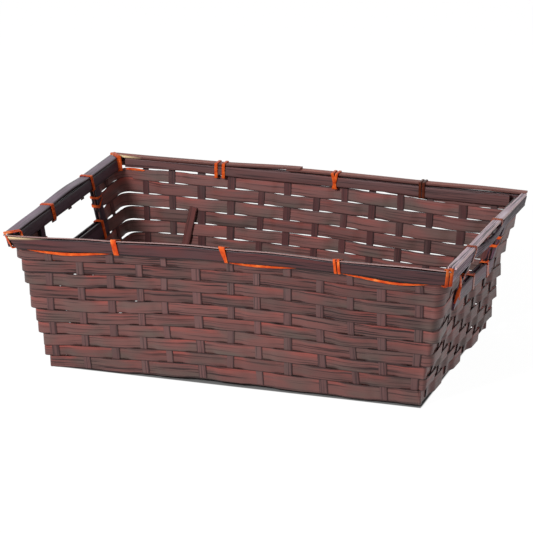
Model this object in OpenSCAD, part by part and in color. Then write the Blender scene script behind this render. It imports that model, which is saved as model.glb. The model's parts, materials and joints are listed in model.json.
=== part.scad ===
// Woven bamboo storage basket, rectangular, with a hand opening in each short side.
// Flat stakes cross under the foot and rise up all four walls. Plain-woven rows run
// round them, and the rim clamps their ends between two slats under a flat cap.
// Orange cane ties the rim, the corners and the frames of the hand openings.
// Origin at the middle of the foot, +X along the length, front towards -Y, +Z up.

/* [Overall] */
// Length over the ties on the rim
rim_l = 402; // [350:1:460]
// Width over the ties on the rim
rim_w = 242; // [215:1:280]
// Height to the top of the ties
basket_h = 128; // [115:1:150]
// Length of the foot, over the lowest row
foot_l = 337; // [300:1:380]
// Width of the foot, over the lowest row
foot_w = 197; // [175:1:230]

/* [Weave] */
// Thickness of the woven strips
strip_t = 0.9; // [0.7:0.05:1.2]
// Width of the stakes that rise up the walls
stake_w = 6.5; // [5:0.5:8]
// Width of the flat strips between the stakes of the foot
filler_w = 7.4; // [6:0.2:8]
// Open slit between two rows
row_gap = 1.1; // [1:0.1:1.6]
// Height of the foot's weave that the lowest row clears
row_lift = 3.4; // [3:0.1:5]
// Flat run of a weaver past each edge of a stake
flat_run = 0.8; // [0.5:0.1:1.2]
// Fit between strips that lie on each other
weave_fit = 0.2; // [0.15:0.05:0.3]
// Corner radius of the lowest row
foot_r = 2.5; // [2:0.5:3]
// Corner radius that the rows reach at the rim
rim_r = 15; // [10:1:20]

/* [Rim] */
// Thickness of the slats that clamp the stakes
slat_t = 2.75; // [2:0.25:3.5]
// Height of the slats
slat_h = 10.15; // [8:0.05:13]
// Width of the flat cap strip
cap_w = 10; // [9:0.5:12]
// Thickness of the cap strip
cap_t = 2.15; // [1.5:0.05:3]
// Corner cut of the caps under the corner ties
corner_cut = 5; // [4:0.5:6]
// Eased edge of slats and caps
ease = 0.4; // [0.2:0.1:0.6]
// Swell of the outer slats
slat_swell = 0.35; // [0:0.05:0.4]
// Corner radius of the woven row inside the rim
core_r = 8; // [6:1:10]

/* [Hand openings] */
// Height of the bar under each opening
bar_h = 14; // [11:0.5:18]
// Thickness of the slats that frame an opening
frame_t = 2; // [1.5:0.1:2.5]
// Length that the stubs of the cut stakes show below the rim
stub_show = 2.6; // [1:0.1:5]

/* [Ties] */
// Thickness of the tying cane
wrap_t = 0.7; // [0.5:0.05:0.8]
// Width of one wide tie on the rim
wrap_w = 5; // [4:0.5:7]
// Width of one narrow turn
turn_w = 2.4; // [2:0.1:3]
// Space between two narrow turns
turn_gap = 0.8; // [0.6:0.1:1.2]
// Room above and below a tie where it passes through the wall
wrap_room = 0.3; // [0.25:0.05:0.5]
// Height of the loose cane strand under the rim
lace_h = 2.2; // [1.5:0.1:3]

/* [Braces] */
// Width of the slats that stiffen the foot
brace_w = 7; // [5:0.5:9]
// Thickness of these slats
brace_t = 1.5; // [1:0.1:2]
// Length of their ends tucked in behind the third row
brace_tuck = 2.83; // [0:0.01:8]

/* [Hidden] */

// Colours
strip_c = [0.43, 0.28, 0.26];
stake_c = [0.36, 0.19, 0.18];
slat_c = [0.33, 0.24, 0.26];
cap_c = [0.45, 0.38, 0.42];
frame_c = [0.2, 0.17, 0.19];
cane_c = [0.86, 0.36, 0.12];
brace_c = [0.42, 0.2, 0.19];

// Counts: rows of the wall, stakes across and along, steps of each bend
rows = 10;
open_rows = 3;
cross_n = 13;
long_n = 7;
cut_first = 2;
cut_last = 4;
fillers_per_stake = 3;
corner_steps = 5;
bend_steps = 4;

// Fit between neighbours that don't move
clear = 0.15;
// Overrun of the cutting shapes
over = 1;

// Offset of a weaver from the stakes, and half the depth of the weave
weave_off = strip_t + weave_fit;
half_weave = weave_off + strip_t / 2;
slat_in = half_weave + clear;
slat_out = slat_in + slat_t;
frame_out = slat_in + frame_t;

// Heights in the rim
cap_top = basket_h - wrap_t - clear;
cap_low = cap_top - cap_t;
slat_top = cap_low - clear;
slat_low = slat_top - slat_h;
rows_top = slat_low - wrap_t - 2 * wrap_room;
stake_top = slat_top - 3 * clear;

// Middle surface of the wall, which leans out from the foot to the cap
foot_mid_x = foot_l / 2 - half_weave;
foot_mid_y = foot_w / 2 - half_weave;
cap_mid_x = rim_l / 2 - wrap_t - clear - cap_w / 2;
cap_mid_y = rim_w / 2 - wrap_t - clear - cap_w / 2;
function mid_x(z) = foot_mid_x + (cap_mid_x - foot_mid_x) * z / cap_top;
function mid_y(z) = foot_mid_y + (cap_mid_y - foot_mid_y) * z / cap_top;
function wall_r(z) = foot_r + (rim_r - foot_r) * z / cap_top;

// Rows
row_pitch = (rows_top - row_lift + row_gap) / rows;
function row_low(k) = rows_top - k * row_pitch + row_gap;
function row_high(k) = rows_top - (k - 1) * row_pitch;
function slit_z(k) = row_low(k) - row_gap / 2;

// Stakes: the outermost ones stand just inside the corner bends of the foot and of the top row
flat_half = stake_w / 2 + flat_run;
function flat_reach(z) = mid_x(z) - wall_r(z) - flat_half - clear;
cross_pitch = min(flat_reach(row_lift), flat_reach(rows_top)) / ((cross_n - 1) / 2);
strip_n = (long_n - 1) / 2 * fillers_per_stake + 1;
strip_pitch = (foot_mid_y - foot_r - filler_w / 2 - clear) / strip_n;
long_pitch = strip_pitch * fillers_per_stake;
function cross_x(i) = (i - (cross_n - 1) / 2) * cross_pitch;
function long_y(n) = (n - (long_n - 1) / 2) * long_pitch;

// Foot weave: strips along the length pass over and under the cross stakes
foot_off = strip_t + clear;
foot_z = foot_off + strip_t / 2;
foot_top = foot_z + foot_off + strip_t / 2;
bend_cut = strip_t + 2 * clear;

// Hand openings, framed by uprights on the second stake from each end
upright_n = 1;
upright_y = -long_y(upright_n);
upright_half = flat_half;
bar_low = row_low(open_rows + 1);
bar_top = bar_low + bar_h;
bar_end = upright_y + upright_half;
cut_top = bar_top - 3 * clear;
upright_top = slat_low - clear;

// Places of the ties between the stakes
tie_x = 3.5 * cross_pitch;
mid_tie_x = cross_pitch / 2;
tie_y = 1.5 * long_pitch;
bar_tie_y = upright_y - upright_half - turn_w;

// Braces: places along the length at the front top, front foot, back foot and back top
brace_top = row_low(open_rows) + brace_tuck;
left_brace_share = [-0.97, -0.955, -0.81, -0.69];
right_brace_share = [0.67, 0.7, 0.89, 0.97];

// Lines in a plane
function unit(v) = v / norm(v);
function left_of(v) = [-v[1], v[0]];
function reversed(p) = [for (i = [len(p) - 1 : -1 : 0]) p[i]];

// A line moved to its left by d, with mitred corners
function moved(p, d) = [for (i = [0 : len(p) - 1])
    let (a = unit(i > 0 ? p[i] - p[i - 1] : p[i + 1] - p[i]),
        b = i < len(p) - 1 ? unit(p[i + 1] - p[i]) : a,
        m = unit(left_of(a) + left_of(b)))
    p[i] + m * d / (m * left_of(a))];

// A strip of thickness t seen edge on, along a line
function ribbon(p, t) = concat(moved(p, t / 2), reversed(moved(p, -t / 2)));

// A soft bend at b, on the way from a to c
function bend(a, b, c, cut) =
    let (s = b + unit(a - b) * cut, e = b + unit(c - b) * cut)
    [for (j = [0 : bend_steps]) let (q = j / bend_steps)
        (1 - q) * (1 - q) * s + 2 * q * (1 - q) * b + q * q * e];

// A closed convex outline, counter-clockwise, grown by d
function grown(p, d) = [for (i = [0 : len(p) - 1])
    let (a = unit(p[i] - p[(i + len(p) - 1) % len(p)]),
        b = unit(p[(i + 1) % len(p)] - p[i]),
        m = unit(left_of(a) + left_of(b)))
    p[i] - m * d / (m * left_of(a))];

// Solid swept through sections of m points each, closed to a ring or capped
module sweep(sections, ring) {
    n = len(sections);
    m = len(sections[0]);
    steps = ring ? n : n - 1;
    sides = [for (i = [0 : steps - 1]) for (j = [0 : m - 1])
        let (i2 = (i + 1) % n, j2 = (j + 1) % m)
        each [[i * m + j, i2 * m + j, i2 * m + j2], [i * m + j, i2 * m + j2, i * m + j2]]];
    first = [for (j = [1 : m - 2]) [0, j, j + 1]];
    last = [for (j = [1 : m - 2]) [(n - 1) * m, (n - 1) * m + j + 1, (n - 1) * m + j]];
    polyhedron(points = [for (s = sections) each s], faces = ring ? sides : concat(sides, first, last));
}

// Upright profiles pushed out along X or along Y, centred
module along_x(length) {
    rotate([90, 0, 90])
        linear_extrude(height = length, center = true)
            children();
}

module along_y(length) {
    rotate([90, 0, 0])
        linear_extrude(height = length, center = true)
            children();
}

// Rows of weavers
// A weaver lies inside stake i of the ring on row k, or outside it
function side_sign(i, k) = (i + k) % 2 == 1 ? -1 : 1;

// Places of a weaver at height z, shifted out by d, on each wall and corner in turn
function front_run(k, z, d) = [for (s = [0 : cross_n - 1]) for (e = [-1, 1])
    [cross_x(s) + e * flat_half, -mid_y(z) - side_sign(s, k) * weave_off - d, z]];

function back_run(k, z, d) = [for (s = [cross_n - 1 : -1 : 0]) for (e = [1, -1])
    [cross_x(s) + e * flat_half, mid_y(z) + side_sign(s, k) * weave_off + d, z]];

function right_run(k, z, d, from, to) = [for (n = [from : to]) for (e = [-1, 1])
    [mid_x(z) + side_sign(cross_n + n, k) * weave_off + d, long_y(n) + e * flat_half, z]];

function left_run(k, z, d, from, to) = [for (n = [from : -1 : to]) for (e = [1, -1])
    [-mid_x(z) - side_sign(cross_n + n, k) * weave_off - d, long_y(n) + e * flat_half, z]];

function corner_run(z, d, turn, first_sign, r) = [for (j = [0 : corner_steps])
    let (q = (j + 1) / (corner_steps + 2),
        a = turn + 90 * j / corner_steps,
        o = first_sign * (1 - 2 * q) * weave_off + d,
        sx = turn == 270 || turn == 0 ? 1 : -1,
        sy = turn == 0 || turn == 90 ? 1 : -1)
    [sx * (mid_x(z) - r) + (r + o) * cos(a), sy * (mid_y(z) - r) + (r + o) * sin(a), z]];

function front_half(k, z, d, r) = concat(
    left_run(k, z, d, upright_n, 0),
    corner_run(z, d, 180, side_sign(cross_n, k), r),
    front_run(k, z, d),
    corner_run(z, d, 270, side_sign(cross_n - 1, k), r),
    right_run(k, z, d, 0, upright_n));

function back_half(k, z, d, r) = concat(
    right_run(k, z, d, long_n - 1 - upright_n, long_n - 1),
    corner_run(z, d, 0, side_sign(cross_n + long_n - 1, k), r),
    back_run(k, z, d),
    corner_run(z, d, 90, side_sign(0, k), r),
    left_run(k, z, d, long_n - 1, long_n - 1 - upright_n));

function whole_round(k, z, d, r) = concat(
    front_half(k, z, d, r),
    right_run(k, z, d, upright_n + 1, long_n - 2 - upright_n),
    back_half(k, z, d, r),
    left_run(k, z, d, long_n - 2 - upright_n, upright_n + 1));

// Four edges of a strip joined into its sections
function sections_of(a, b, c, d) = [for (i = [0 : len(a) - 1]) [a[i], b[i], c[i], d[i]]];

module ring_strip(k, low, high, r_low, r_high) {
    h = strip_t / 2;
    sweep(sections_of(whole_round(k, low, h, r_low), whole_round(k, low, -h, r_low),
        whole_round(k, high, -h, r_high), whole_round(k, high, h, r_high)), true);
}

module open_strips(k, low, high) {
    h = strip_t / 2;
    rl = wall_r(low);
    rh = wall_r(high);
    sweep(sections_of(front_half(k, low, h, rl), front_half(k, low, -h, rl),
        front_half(k, high, -h, rh), front_half(k, high, h, rh)), false);
    sweep(sections_of(back_half(k, low, h, rl), back_half(k, low, -h, rl),
        back_half(k, high, -h, rh), back_half(k, high, h, rh)), false);
}

module weaver_row(k) {
    color(strip_c)
        if (k <= open_rows) open_strips(k, row_low(k), row_high(k));
        else ring_strip(k, row_low(k), row_high(k), wall_r(row_low(k)), wall_r(row_high(k)));
}

module rim_core_row() {
    color(strip_c)
        ring_strip(0, slat_low + clear, slat_top - 2 * clear, core_r, core_r);
}

// Stakes
module cross_stake(i) {
    top = [mid_y(stake_top), stake_top];
    corner = [mid_y(foot_z), foot_z];
    half = concat(bend([0, foot_z], corner, top, bend_cut), [top]);
    line = concat(reversed([for (p = half) [-p[0], p[1]]]), half);
    color(stake_c)
        translate([cross_x(i), 0, 0])
            along_x(stake_w)
                polygon(ribbon(line, strip_t));
}

// Height of a lengthwise strip where it meets cross stake i
function strip_z(i, j) = foot_z + ((i + j) % 2 == 0 ? -foot_off : foot_off);

function foot_wave(j) = [for (i = [0 : cross_n - 1]) for (e = [-1, 1])
    [cross_x(i) + e * flat_half, strip_z(i, j)]];

module long_stake(n) {
    j = n * fillers_per_stake + cross_n;
    cut = n >= cut_first && n <= cut_last;
    high = cut ? cut_top : stake_top;
    top = [mid_x(high), high];
    z = strip_z(0, j);
    corner = [mid_x(z), z];
    right = concat(bend([0, z], corner, top, bend_cut), [top]);
    left = reversed([for (p = right) [-p[0], p[1]]]);
    color(stake_c)
        translate([0, long_y(n), 0])
            along_y(stake_w)
                polygon(ribbon(concat(left, foot_wave(j), right), strip_t));
}

module foot_fillers() {
    color(strip_c)
        for (j = [-strip_n : strip_n])
            if ((j + strip_n - 1) % fillers_per_stake != 0) {
                wave = foot_wave(j + strip_n + 1 + cross_n);
                translate([0, j * strip_pitch, 0])
                    along_y(filler_w)
                        polygon(ribbon(wave, strip_t));
            }
}

// Rim slats and caps
// Section of a leaning slat between offsets a and b from the wall's middle surface
function slat_section(mid_low, mid_high, a, b, low, high, swell) =
    let (c = ease, mid = (mid_low + mid_high) / 2, z = (low + high) / 2)
    [[mid_low + a + c, low], [mid_low + b - c, low], [mid_low + b, low + c],
     [mid + b + swell, z],
     [mid_high + b, high - c], [mid_high + b - c, high], [mid_high + a + c, high],
     [mid_high + a, high - c], [mid_low + a, low + c]];

module long_slat(length, a, b, swell) {
    along_x(length)
        polygon(slat_section(mid_y(slat_low), mid_y(slat_top), a, b, slat_low, slat_top, swell));
}

module short_slat(length, a, b, swell) {
    along_y(length)
        polygon(slat_section(mid_x(slat_low), mid_x(slat_top), a, b, slat_low, slat_top, swell));
}

// Corner planes that trim the caps and outer slats where the corner ties pass
cap_out_x = cap_mid_x + cap_w / 2;
cap_out_y = cap_mid_y + cap_w / 2;
cap_in_x = cap_mid_x - cap_w / 2;
cap_in_y = cap_mid_y - cap_w / 2;

module trimmed() {
    intersection() {
        children();
        linear_extrude(height = basket_h)
            polygon([for (p = [[1, 1, 0, 1], [1, 1, 1, 0], [-1, 1, 1, 0], [-1, 1, 0, 1],
                [-1, -1, 0, 1], [-1, -1, 1, 0], [1, -1, 1, 0], [1, -1, 0, 1]])
                [p[0] * (cap_out_x - p[2] * corner_cut), p[1] * (cap_out_y - p[3] * corner_cut)]]);
    }
}

module rim_outer_back() {
    color(slat_c)
        trimmed()
            long_slat(2 * (cap_out_x - ease), slat_in, slat_out, slat_swell);
}

module rim_outer_right() {
    color(slat_c)
        short_slat(2 * (mid_y(slat_low) + slat_in - clear), slat_in, slat_out, slat_swell);
}

module rim_inner_back() {
    color(slat_c)
        long_slat(2 * (mid_x(slat_low) - core_r), -slat_out, -slat_in, 0);
}

module rim_inner_right() {
    color(slat_c)
        short_slat(2 * (mid_y(slat_low) - core_r), -slat_out, -slat_in, 0);
}

function cap_section(mid) =
    let (h = cap_w / 2, c = ease)
    [[mid - h + c, cap_low], [mid + h - c, cap_low], [mid + h, cap_low + c],
     [mid + h, cap_top - c], [mid + h - c, cap_top], [mid - h + c, cap_top],
     [mid - h, cap_top - c], [mid - h, cap_low + c]];

module rim_cap_back() {
    color(cap_c)
        trimmed()
            along_x(2 * cap_out_x)
                polygon(cap_section(cap_mid_y));
}

module rim_cap_right() {
    color(cap_c)
        along_y(2 * (cap_in_y - clear))
            polygon(cap_section(cap_mid_x));
}

// Hand openings
function frame_section(low, high, a, b) =
    let (c = ease)
    [[mid_x(low) + a + c, low], [mid_x(low) + b - c, low], [mid_x(low + c) + b, low + c],
     [mid_x(high - c) + b, high - c], [mid_x(high) + b - c, high], [mid_x(high) + a + c, high],
     [mid_x(high - c) + a, high - c], [mid_x(low + c) + a, low + c]];

module handle_uprights() {
    color(frame_c)
        for (s = [-1, 1])
            translate([0, s * upright_y, 0])
                along_y(2 * upright_half) {
                    polygon(frame_section(bar_top + clear, upright_top, slat_in, frame_out));
                    polygon(frame_section(bar_top + clear, upright_top, -frame_out, -slat_in));
                }
}

module handle_bars() {
    color(frame_c)
        along_y(2 * bar_end) {
            polygon(frame_section(bar_low, bar_top, slat_in, frame_out));
            polygon(frame_section(bar_low, bar_top, -frame_out, -slat_in));
        }
}

module stubs() {
    low = slat_low - stub_show;
    for (n = [cut_first : cut_last])
        translate([0, long_y(n), 0])
            along_y(stake_w)
                polygon(ribbon([[mid_x(low), low], [mid_x(stake_top), stake_top]], strip_t));
}

// Ties
// A band round a convex outline
module band(outline) {
    difference() {
        polygon(grown(outline, clear + wrap_t));
        polygon(grown(outline, clear));
    }
}

// Outline of slats and cap together, counter-clockwise
function rim_outline(mid_low, mid_cap) =
    [[mid_low - slat_out, slat_low], [mid_low + slat_out, slat_low],
     [mid_cap + cap_w / 2, cap_low], [mid_cap + cap_w / 2, cap_top], [mid_cap - cap_w / 2, cap_top]];

module long_tie(x, w) {
    translate([x, 0, 0])
        along_x(w)
            band(rim_outline(mid_y(slat_low), cap_mid_y));
}

module short_tie(y, w) {
    translate([0, y, 0])
        along_y(w)
            band(rim_outline(mid_x(slat_low), cap_mid_x));
}

// Two narrow turns side by side
module long_pair(x) {
    for (s = [-1, 1])
        long_tie(x + s * (turn_w + turn_gap) / 2, turn_w);
}

module back_ties() {
    long_pair(-tie_x);
    long_pair(mid_tie_x);
    long_pair(tie_x);
}

module front_ties() {
    long_tie(-tie_x, wrap_w);
    long_tie(-mid_tie_x, wrap_w);
    long_pair(tie_x);
}

// A corner tie runs in the upright plane through the corner, from the cut edge inwards
tie_half = turn_w + turn_gap / 2;
cut_depth = corner_cut / sqrt(2);
function corner_depth(x, y) = max(cap_out_x - x, cap_out_y - y) * sqrt(2);
inner_low_d = corner_depth(mid_x(slat_low) - slat_out, mid_y(slat_low) - slat_out) + tie_half;
inner_top_d = corner_depth(cap_in_x, cap_in_y) + tie_half;

module corner_tie() {
    for (s = [-1, 1])
        translate([cap_out_x, cap_out_y, 0])
            rotate([0, 0, -135])
                translate([0, s * (turn_w + turn_gap) / 2, 0])
                    along_y(turn_w)
                        band([[cut_depth, slat_low], [inner_low_d, slat_low],
                            [inner_top_d, cap_top], [cut_depth, cap_top]]);
}

module bar_tie(y, w) {
    translate([0, y, 0])
        along_y(w)
            band([[mid_x(bar_low) - frame_out, bar_low], [mid_x(bar_low) + frame_out, bar_low],
                [mid_x(bar_top) + frame_out, bar_top], [mid_x(bar_top) - frame_out, bar_top]]);
}

// One flat turn round an upright, drawn thin where it passes the slit above row k
module upright_turn(k) {
    z = slit_z(k);
    lean = (mid_x(z + turn_w / 2) - mid_x(z));
    depth = frame_out + lean + clear;
    width = upright_half + clear;
    leg_h = row_gap - 2 * weave_fit;
    translate([mid_x(z), upright_y, z])
        difference() {
            cube([2 * (depth + wrap_t), 2 * (width + wrap_t), turn_w], center = true);
            cube([2 * depth, 2 * width, turn_w + over], center = true);
            for (s = [-1, 1])
                translate([0, width + wrap_t / 2, s * (leg_h + turn_w) / 2])
                    cube([2 * (slat_in + lean), wrap_t + over, turn_w], center = true);
        }
}

module handle_tie_set() {
    for (y = [-bar_tie_y, -long_pitch / 2, bar_tie_y])
        bar_tie(y, 2 * turn_w);
    for (k = [1, 2])
        upright_turn(k);
    for (k = [1, 2])
        mirror([0, 1, 0])
            upright_turn(k);
}

// Loose strands of cane under the rim, outside the top row or inside it
lace_z = slat_low - wrap_room - lace_h;
lace_lean = mid_y(lace_h) - mid_y(0);
lace_out = mid_y(lace_z) + slat_in + lace_lean;
lace_in = mid_y(lace_z) - slat_in - wrap_t;

module strand(from, to, at) {
    translate([from, at, lace_z])
        cube([to - from, wrap_t, lace_h]);
}

// Braces
module brace(share) {
    z = foot_top + clear + brace_t / 2;
    off = half_weave + clear + brace_t / 2;
    top = [mid_y(brace_top) - off, brace_top];
    corner = [mid_y(z) - off, z];
    half = concat(bend([0, z], corner, top, brace_t), [top]);
    line = concat(reversed([for (p = half) [-p[0], p[1]]]), half);
    reach = mid_x(0) - wall_r(0);
    places = concat([share[0]], [for (i = [0 : bend_steps]) share[1]],
        [for (i = [0 : bend_steps]) share[2]], [share[3]]);
    out = moved(line, brace_t / 2);
    back = moved(line, -brace_t / 2);
    sweep([for (i = [0 : len(line) - 1])
        let (a = reach * places[i] - brace_w / 2, b = a + brace_w)
        [[a, out[i][0], out[i][1]], [b, out[i][0], out[i][1]],
         [b, back[i][0], back[i][1]], [a, back[i][0], back[i][1]]]], false);
}

module left_side() {
    mirror([1, 0, 0])
        children();
}

module front_side() {
    mirror([0, 1, 0])
        children();
}

module left_handle_uprights() {
    left_side()
        handle_uprights();
}

module left_handle_bars() {
    left_side()
        handle_bars();
}

module rim_stubs() {
    color(stake_c) {
        stubs();
        left_side()
            stubs();
    }
}

module long_side_ties() {
    color(cane_c) {
        back_ties();
        front_side()
            front_ties();
    }
}

module short_side_ties() {
    color(cane_c)
        for (y = [-tie_y, tie_y]) {
            short_tie(y, wrap_w - turn_gap);
            left_side()
                short_tie(y, wrap_w - turn_gap);
        }
}

module corner_ties() {
    color(cane_c) {
        left_side()
            corner_tie();
        front_side()
            corner_tie();
        front_side()
            left_side()
                corner_tie();
    }
}

module handle_ties() {
    color(cane_c) {
        handle_tie_set();
        left_side()
            handle_tie_set();
    }
}

module rim_lacing() {
    far = mid_x(rows_top) - rim_r;
    gap = wrap_w / 2 + clear;
    color(cane_c) {
        strand(-far, -far + long_pitch, lace_in);
        front_side() {
            strand(-far, -tie_x - gap, lace_out);
            strand(-mid_tie_x + gap, tie_x - tie_half - clear, lace_out);
            strand(tie_x + tie_half + clear, far, lace_out);
        }
    }
}

module brace_left() {
    color(brace_c)
        brace(left_brace_share);
}

module brace_right() {
    color(brace_c)
        brace(right_brace_share);
}

weaver_row(1);  // weaver_row_01
weaver_row(2);  // weaver_row_02
weaver_row(3);  // weaver_row_03
weaver_row(4);  // weaver_row_04
weaver_row(5);  // weaver_row_05
weaver_row(6);  // weaver_row_06
weaver_row(7);  // weaver_row_07
weaver_row(8);  // weaver_row_08
weaver_row(9);  // weaver_row_09
weaver_row(10);  // weaver_row_10
rim_core_row();
cross_stake(0);  // cross_stake_01
cross_stake(1);  // cross_stake_02
cross_stake(2);  // cross_stake_03
cross_stake(3);  // cross_stake_04
cross_stake(4);  // cross_stake_05
cross_stake(5);  // cross_stake_06
cross_stake(6);  // cross_stake_07
cross_stake(7);  // cross_stake_08
cross_stake(8);  // cross_stake_09
cross_stake(9);  // cross_stake_10
cross_stake(10);  // cross_stake_11
cross_stake(11);  // cross_stake_12
cross_stake(12);  // cross_stake_13
long_stake(0);  // long_stake_1
long_stake(1);  // long_stake_2
long_stake(2);  // long_stake_3
long_stake(3);  // long_stake_4
long_stake(4);  // long_stake_5
long_stake(5);  // long_stake_6
long_stake(6);  // long_stake_7
foot_fillers();
front_side() rim_outer_back();  // rim_outer_front
rim_outer_back();
left_side() rim_outer_right();  // rim_outer_left
rim_outer_right();
front_side() rim_inner_back();  // rim_inner_front
rim_inner_back();
left_side() rim_inner_right();  // rim_inner_left
rim_inner_right();
front_side() rim_cap_back();  // rim_cap_front
rim_cap_back();
left_side() rim_cap_right();  // rim_cap_left
rim_cap_right();
left_handle_uprights();
handle_uprights();  // right_handle_uprights
left_handle_bars();
handle_bars();  // right_handle_bars
rim_stubs();
long_side_ties();
short_side_ties();
corner_ties();
handle_ties();
rim_lacing();
brace_left();
brace_right();
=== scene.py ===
import json
import math
import random
import bpy
from mathutils import Matrix, Vector

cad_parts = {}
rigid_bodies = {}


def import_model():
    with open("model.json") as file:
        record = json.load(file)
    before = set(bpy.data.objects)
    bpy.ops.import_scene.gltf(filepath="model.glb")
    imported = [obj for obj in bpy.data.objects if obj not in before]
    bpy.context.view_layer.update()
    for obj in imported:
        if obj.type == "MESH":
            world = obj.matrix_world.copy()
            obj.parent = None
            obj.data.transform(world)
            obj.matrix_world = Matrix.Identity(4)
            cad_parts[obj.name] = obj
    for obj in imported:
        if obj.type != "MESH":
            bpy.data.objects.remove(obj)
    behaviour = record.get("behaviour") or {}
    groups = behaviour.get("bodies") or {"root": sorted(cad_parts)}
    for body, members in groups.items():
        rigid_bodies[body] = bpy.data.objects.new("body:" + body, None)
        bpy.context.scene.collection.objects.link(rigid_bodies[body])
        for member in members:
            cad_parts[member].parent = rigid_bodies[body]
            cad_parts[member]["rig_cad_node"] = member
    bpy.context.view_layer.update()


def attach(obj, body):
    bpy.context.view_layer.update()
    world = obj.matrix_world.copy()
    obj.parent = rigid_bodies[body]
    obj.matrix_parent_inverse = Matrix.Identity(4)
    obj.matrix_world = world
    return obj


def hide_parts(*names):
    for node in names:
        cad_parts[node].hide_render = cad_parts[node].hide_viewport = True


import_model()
print("frame loaded")

# The basket is laid out in millimetres, with the part's own sizes, and each finished mesh is in metres
mm = 0.001
basket = {
    "length": 402, "width": 242, "height": 128,  # over the ties on the rim
    "footLength": 337, "footWidth": 197,
    "footCorner": 2.5, "rimCorner": 15, "coreCorner": 8,
    "strip": 0.9, "fit": 0.2, "clear": 0.15,
    "stakeWidth": 6.5, "fillerWidth": 7.4,
    "rowLift": 3.4, "rowGap": 1.1, "flatRun": 0.8,
    "slat": 2.75, "slatHeight": 10.15,
    "cap": 2.15, "capWidth": 10, "cornerCut": 5,
    "bar": 2, "barHeight": 14, "stubShow": 2.6,
    "cane": 0.7, "caneRoom": 0.3,
    "braceWidth": 7, "brace": 1.5, "braceTuck": 2.83,
    "rows": 10, "openRows": 3, "crossStakes": 13, "longStakes": 7, "fillersPerStake": 3,
    "upright": 1, "cutFrom": 2, "cutTo": 4,
}
b = basket  # every formula below uses these sizes
weaveOff = b["strip"] + b["fit"]
halfWeave = weaveOff + b["strip"] / 2
slatIn = halfWeave + b["clear"]
slatOut = slatIn + b["slat"]
frameOut = slatIn + b["bar"]
capTop = b["height"] - b["cane"] - b["clear"]
capLow = capTop - b["cap"]
slatTop = capLow - b["clear"]
slatLow = slatTop - b["slatHeight"]
rowsTop = slatLow - b["cane"] - 2 * b["caneRoom"]
stakeTop = slatTop - 3 * b["clear"]
footMidX = b["footLength"] / 2 - halfWeave
footMidY = b["footWidth"] / 2 - halfWeave
capMidX = b["length"] / 2 - b["cane"] - b["clear"] - b["capWidth"] / 2
capMidY = b["width"] / 2 - b["cane"] - b["clear"] - b["capWidth"] / 2
rowPitch = (rowsTop - b["rowLift"] + b["rowGap"]) / b["rows"]


def midX(z):
    return footMidX + (capMidX - footMidX) * z / capTop


def midY(z):
    return footMidY + (capMidY - footMidY) * z / capTop


def cornerRadius(z):
    return b["footCorner"] + (b["rimCorner"] - b["footCorner"]) * z / capTop


def rowLow(k):
    return rowsTop - k * rowPitch + b["rowGap"]


def rowHigh(k):
    return rowsTop - (k - 1) * rowPitch


flatHalf = b["stakeWidth"] / 2 + b["flatRun"]
stakeReach = midX(b["rowLift"]) - cornerRadius(b["rowLift"]) - flatHalf - b["clear"]
crossPitch = stakeReach / ((b["crossStakes"] - 1) / 2)
stripCount = (b["longStakes"] - 1) // 2 * b["fillersPerStake"] + 1
stripPitch = (footMidY - b["footCorner"] - b["fillerWidth"] / 2 - b["clear"]) / stripCount
longPitch = stripPitch * b["fillersPerStake"]
footOff = b["strip"] + b["clear"]
footZ = footOff + b["strip"] / 2
footTop = footZ + footOff + b["strip"] / 2


def crossX(i):
    return (i - (b["crossStakes"] - 1) / 2) * crossPitch


def longY(n):
    return (n - (b["longStakes"] - 1) / 2) * longPitch


uprightY = -longY(b["upright"])
barLow = rowLow(b["openRows"] + 1)
barTop = barLow + b["barHeight"]
barEnd = uprightY + flatHalf
uprightTop = slatLow - b["clear"]

stakePlaces = [-161, -134, -107, -80, -54, -27, 0, 27, 54, 80, 107, 134, 161]


def overStakes(end, *shifts):
    return list(zip([-end] + stakePlaces + [end], shifts))


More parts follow.
